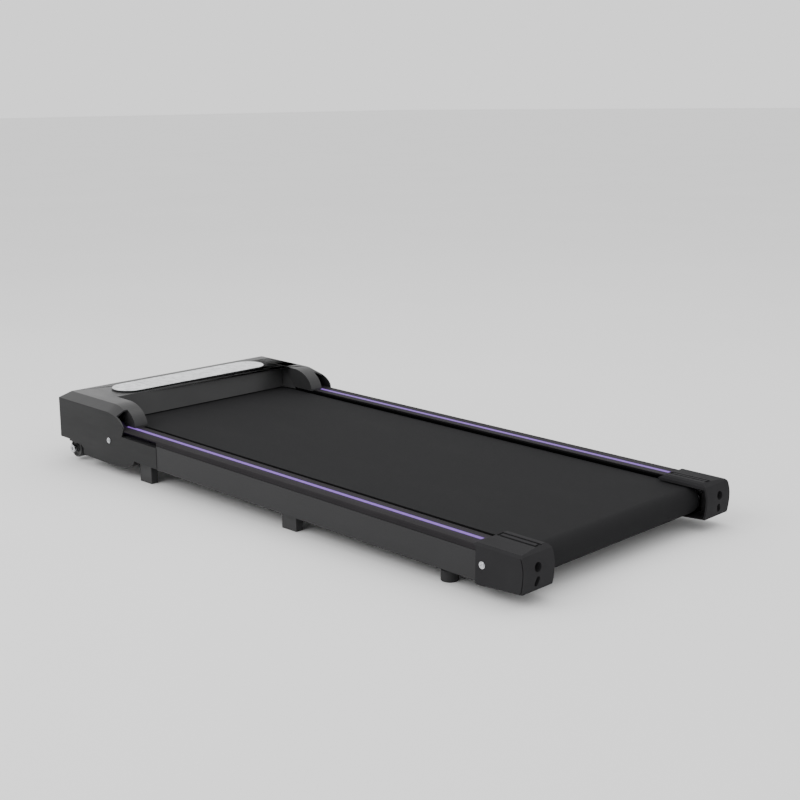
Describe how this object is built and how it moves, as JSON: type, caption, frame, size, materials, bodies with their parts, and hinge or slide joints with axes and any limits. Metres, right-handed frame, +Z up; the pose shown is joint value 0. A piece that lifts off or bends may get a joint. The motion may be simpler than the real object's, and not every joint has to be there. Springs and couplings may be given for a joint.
{
  "type": "under-desk walking pad treadmill",
  "caption": "Flat motorised walking pad with a low hood at the front, a running belt between lit foot rails, rear end caps, block feet and small transport wheels.",
  "frame": {"origin": "on the floor, at the centre of the bounding box", "axes": "+X towards the rear roller, away from the hood; +Y to the walker's right; +Z up"},
  "size_m": [1.1915, 0.5244, 0.139],
  "materials": {
    "frame_paint": "satin black powder coat",
    "steel": "turned steel",
    "bright_screw": "bright plated",
    "hood_plastic": "fine-textured dark grey",
    "cap_plastic": "fine-textured black",
    "rail_plastic": "matt black with a fine grain",
    "belt_rubber": "fine woven pattern, matt black",
    "deck_laminate": "black phenolic-faced board",
    "soft_rubber": "matt black",
    "foot_grey": "matt dark grey",
    "lens_silver": "silver-tinted, printed from behind",
    "trim_black": "gloss black",
    "circuit_green": "solder mask",
    "heat_sink_metal": "bare extrusion",
    "motor_paint": "semi-gloss grey",
    "pulley_metal": "machined",
    "light_purple": "milky diffuser",
    "light_board": "white circuit strip",
    "wheel_plastic": "matt black"
  },
  "bodies": {
    "treadmill_base": {"side_rail_left": "frame_paint", "side_rail_right": "frame_paint", "front_cross_member": "frame_paint", "deck_cross_member_1": "frame_paint", "deck_cross_member_2": "frame_paint", "deck_cross_member_3": "frame_paint", "rear_cross_member": "frame_paint", "deck_board": "deck_laminate", "deck_cushions": "soft_rubber", "deck_screws": "steel", "running_belt": "belt_rubber", "front_roller_axle": "steel", "rear_roller_axle": "steel", "axle_blocks": "frame_paint", "tension_bolts": "bright_screw", "motor_case": "motor_paint", "motor_bracket": "frame_paint", "drive_belt": "soft_rubber", "control_board": "circuit_green", "heat_sink": "heat_sink_metal", "wiring_harness": "soft_rubber", "power_inlet": "trim_black", "power_switch_frame": "trim_black", "hood_cover": "hood_plastic", "hood_base": "rail_plastic", "side_cover_left": "hood_plastic", "side_cover_right": "hood_plastic", "display_surround": "trim_black", "display_lens": "lens_silver", "display_board": "circuit_green", "remote_tray": "trim_black", "foot_rail_left": "rail_plastic", "foot_rail_right": "rail_plastic", "light_diffuser_left": "light_purple", "light_diffuser_right": "light_purple", "light_strips": "light_board", "edge_strip_left": "trim_black", "edge_strip_right": "trim_black", "end_cap_left": "cap_plastic", "end_cap_right": "cap_plastic", "wheel_bolts": "bright_screw", "wheel_brackets": "frame_paint", "front_feet": "foot_grey", "middle_feet": "foot_grey", "rear_feet": "soft_rubber", "cover_screws": "bright_screw"},
    "front_roller_group": {"front_roller": "steel", "front_roller_bearings": "steel", "drive_pulley": "pulley_metal"},
    "rear_roller_group": {"rear_roller": "steel", "rear_roller_bearings": "steel"},
    "motor_rotor": {"motor_armature": "steel", "motor_shaft": "steel", "motor_pulley": "pulley_metal", "motor_fan": "wheel_plastic"},
    "wheel_left": {"transport_wheel_left": "wheel_plastic"},
    "wheel_right": {"transport_wheel_right": "wheel_plastic"},
    "switch_rocker": {"power_switch_rocker": "trim_black"}
  },
  "joints": [
    {"name": "front_roller_spin", "type": "hinge", "parent": "treadmill_base", "child": "front_roller_group", "pos_m": [-0.48252, 0, 0.06544], "axis": [0, 1, 0], "continuous": true},
    {"name": "rear_roller_spin", "type": "hinge", "parent": "treadmill_base", "child": "rear_roller_group", "pos_m": [0.54931, 0, 0.04652], "axis": [0, 1, 0], "continuous": true},
    {"name": "motor_spin", "type": "hinge", "parent": "treadmill_base", "child": "motor_rotor", "pos_m": [-0.55214, 0.14, 0.08672], "axis": [0, 1, 0], "continuous": true},
    {"name": "wheel_left_spin", "type": "hinge", "parent": "treadmill_base", "child": "wheel_left", "pos_m": [-0.56229, -0.236, 0.02389], "axis": [0, 1, 0], "continuous": true},
    {"name": "wheel_right_spin", "type": "hinge", "parent": "treadmill_base", "child": "wheel_right", "pos_m": [-0.56229, 0.236, 0.02389], "axis": [0, 1, 0], "continuous": true},
    {"name": "switch_rock", "type": "hinge", "parent": "treadmill_base", "child": "switch_rocker", "pos_m": [-0.58832, -0.01, 0.07738], "axis": [0.0183, 0, 0.9998], "range_deg": [-16, 0]}
  ],
  "couplings": [
    {"joint": "rear_roller_spin", "follows": "front_roller_spin", "ratio": 1},
    {"joint": "motor_spin", "follows": "front_roller_spin", "ratio": 3}
  ]
}
